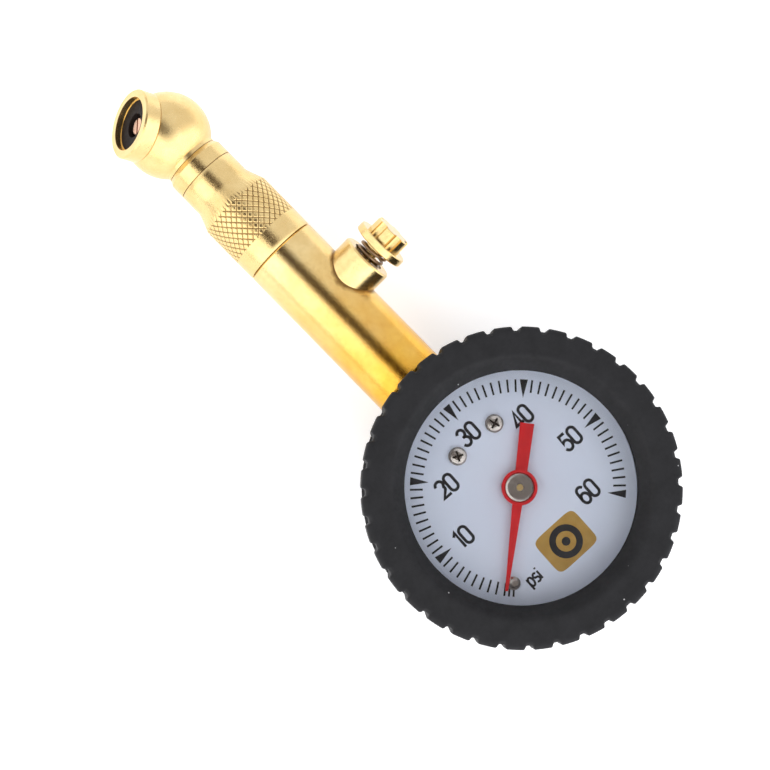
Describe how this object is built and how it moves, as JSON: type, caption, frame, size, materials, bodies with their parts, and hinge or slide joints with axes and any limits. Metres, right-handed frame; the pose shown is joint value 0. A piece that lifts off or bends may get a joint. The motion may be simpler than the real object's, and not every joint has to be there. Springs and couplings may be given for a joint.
{
  "type": "tire pressure gauge",
  "caption": "Dial tire pressure gauge with a brass stem, a swivel ball chuck, a push-button bleed valve and a tread-patterned rubber boot around the dial.",
  "frame": {"origin": "the middle of the flat back of the boot, on the dial axis", "axes": "+Z out of the dial, +Y along the stem towards the chuck, +X towards the bleed button"},
  "size_m": [0.054, 0.1228, 0.026],
  "materials": {
    "rubber": null,
    "steel": null,
    "clear": null,
    "seal": null,
    "dial": null,
    "nickel": null,
    "red": null,
    "movement_brass": null,
    "spring_bronze": null,
    "steel_pin": null,
    "body_brass": null,
    "fibre": null,
    "spring_steel": null,
    "pin_copper": null
  },
  "bodies": {
    "gauge_body": {"rubber_boot": "rubber", "gauge_case": "steel", "bezel_ring": "steel", "lens": "clear", "lens_gasket": "seal", "dial_plate": "dial", "dial_screws": "nickel", "stop_pin": "nickel", "hairspring": "spring_bronze", "hairspring_stud": "movement_brass", "movement_back_plate": "movement_brass", "movement_front_plate": "movement_brass", "movement_pillars": "movement_brass", "movement_screws": "nickel", "plate_screws": "nickel", "bourdon_tube": "spring_bronze", "socket_block": "body_brass", "case_screws": "nickel", "stem_tube": "body_brass", "stem_seal_washer": "fibre", "sleeve_seal_washer": "fibre", "bleed_housing": "body_brass", "bleed_spring": "spring_steel", "knurled_sleeve": "body_brass", "check_retainer": "body_brass", "check_spring": "spring_steel", "swivel_gland_ring": "body_brass"},
    "pointer_body": {"pointer": "red", "pointer_cap": "nickel", "pinion_arbor": "movement_brass"},
    "sector_body": {"sector_gear": "movement_brass", "sector_arbor": "steel_pin", "sector_link_pin": "steel_pin"},
    "link_body": {"link": "movement_brass"},
    "tip_body": {"tube_tip": "movement_brass", "tip_link_pin": "steel_pin"},
    "button_body": {"bleed_button": "body_brass", "bleed_poppet": "body_brass", "bleed_seal": "seal"},
    "check_body": {"check_poppet": "body_brass", "check_seal": "seal"},
    "chuck_body": {"ball_body": "body_brass", "swivel_clip": "spring_steel", "swivel_o_ring": "seal", "mouth_collar": "body_brass", "mouth_washer": "seal", "deflator_pin": "pin_copper"}
  },
  "joints": [
    {"name": "pointer_turn", "type": "hinge", "parent": "gauge_body", "child": "pointer_body", "pos_m": [0, 0, 0.01], "axis": [0, 0, -1], "range_deg": [0, 266], "stiffness_Nm_per_rad": 0.0002, "springref_deg": -17.19, "deforming": ["hairspring"]},
    {"name": "sector_turn", "type": "hinge", "parent": "gauge_body", "child": "sector_body", "pos_m": [0.00968, -0.00407, 0.009], "axis": [0, 0, 1], "range_deg": [0, 44.4]},
    {"name": "link_swing", "type": "hinge", "parent": "sector_body", "child": "link_body", "pos_m": [0.00642, -0.00559, 0.0099], "axis": [0, 0, -1], "range_deg": [0, 44.4]},
    {"name": "tip_travel", "type": "slide", "parent": "gauge_body", "child": "tip_body", "axis": [0.7347, -0.6784, 0], "range_m": [0, 0.00272], "deforming": ["bourdon_tube"]},
    {"name": "bleed_press", "type": "slide", "parent": "gauge_body", "child": "button_body", "axis": [-0.9563, 0, -0.2924], "range_m": [0, 0.00185], "stiffness_N_per_m": 1500, "springref_m": -0.002, "deforming": ["bleed_spring"]},
    {"name": "check_lift", "type": "slide", "parent": "gauge_body", "child": "check_body", "axis": [0, -1, 0], "range_m": [0, 0.0008], "stiffness_N_per_m": 300, "springref_m": -0.002, "deforming": ["check_spring"]},
    {"name": "chuck_swivel", "type": "hinge", "parent": "gauge_body", "child": "chuck_body", "pos_m": [0, 0.08625, 0.0125], "axis": [0, 1, 0], "continuous": true}
  ],
  "couplings": [
    {"joint": "pointer_turn", "follows": "tip_travel", "rad_per_m": 1706.5},
    {"joint": "sector_turn", "follows": "tip_travel", "rad_per_m": 284.42},
    {"joint": "link_swing", "follows": "tip_travel", "rad_per_m": 284.42}
  ]
}
